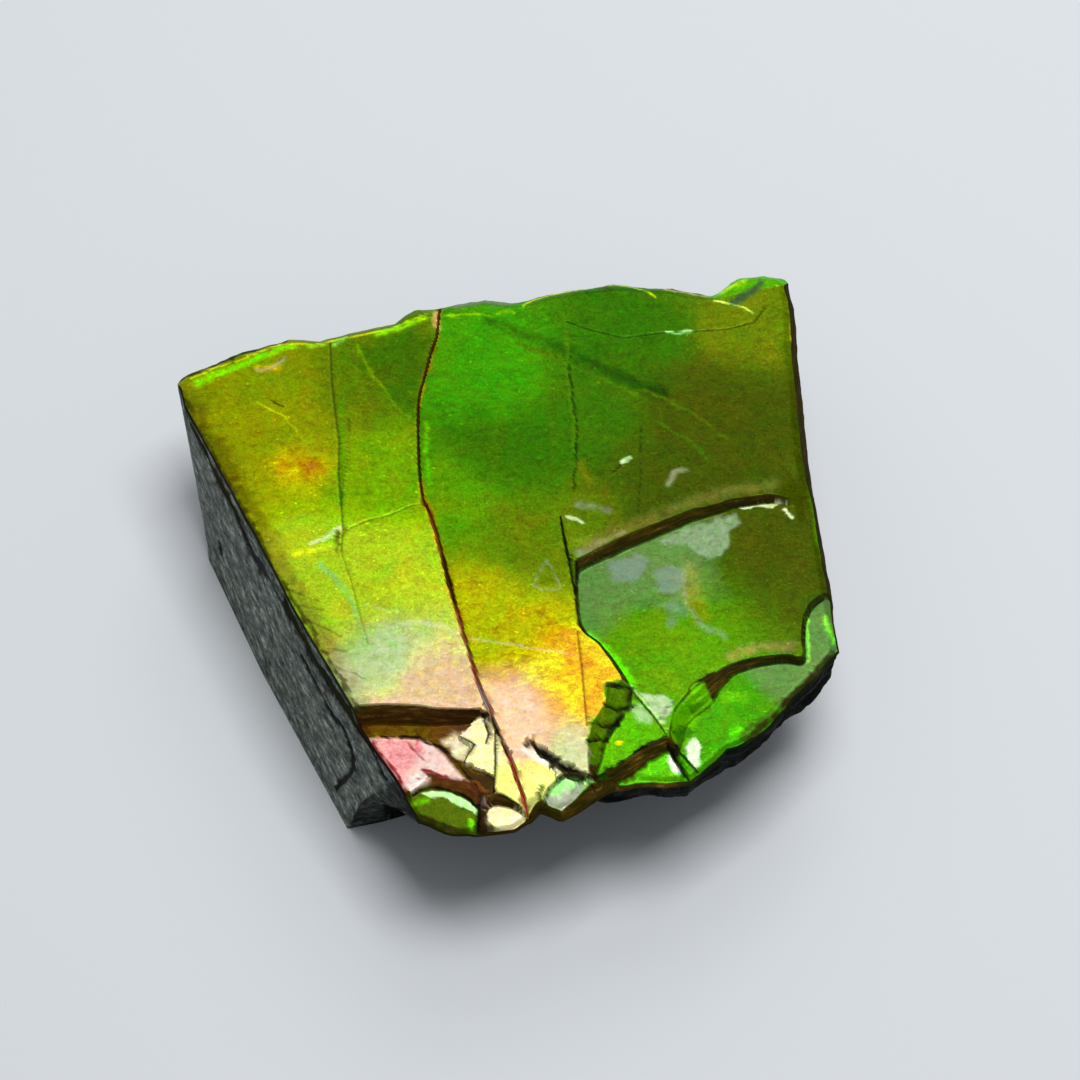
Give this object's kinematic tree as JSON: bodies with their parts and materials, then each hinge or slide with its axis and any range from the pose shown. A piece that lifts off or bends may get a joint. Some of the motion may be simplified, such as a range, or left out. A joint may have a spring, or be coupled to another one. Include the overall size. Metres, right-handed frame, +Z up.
{
  "type": "ammolite specimen",
  "caption": "Broken, four-sided piece of iridescent green and gold ammonite shell, flaked off in steps, on its bed of dark grey shale with a sawn base.",
  "frame": {"origin": "centre of the bounding box at the flat sawn base that it rests on", "axes": "+Z up out of the shell's polished face, +X along the longest extent, -Y towards the broken, undercut front tip; the sawn side faces -X"},
  "size_m": [0.0446, 0.0428, 0.012],
  "materials": {
    "shale": "dark grey shale, sawn faces smooth with faint saw marks, other faces broken and matt",
    "ammolite": "polished iridescent nacre, green and gold with orange and pink towards the front, dark brown on its broken edges"
  },
  "bodies": {
    "root": {"shale_matrix": "shale", "ammolite_layer": "ammolite"}
  },
  "joints": []
}
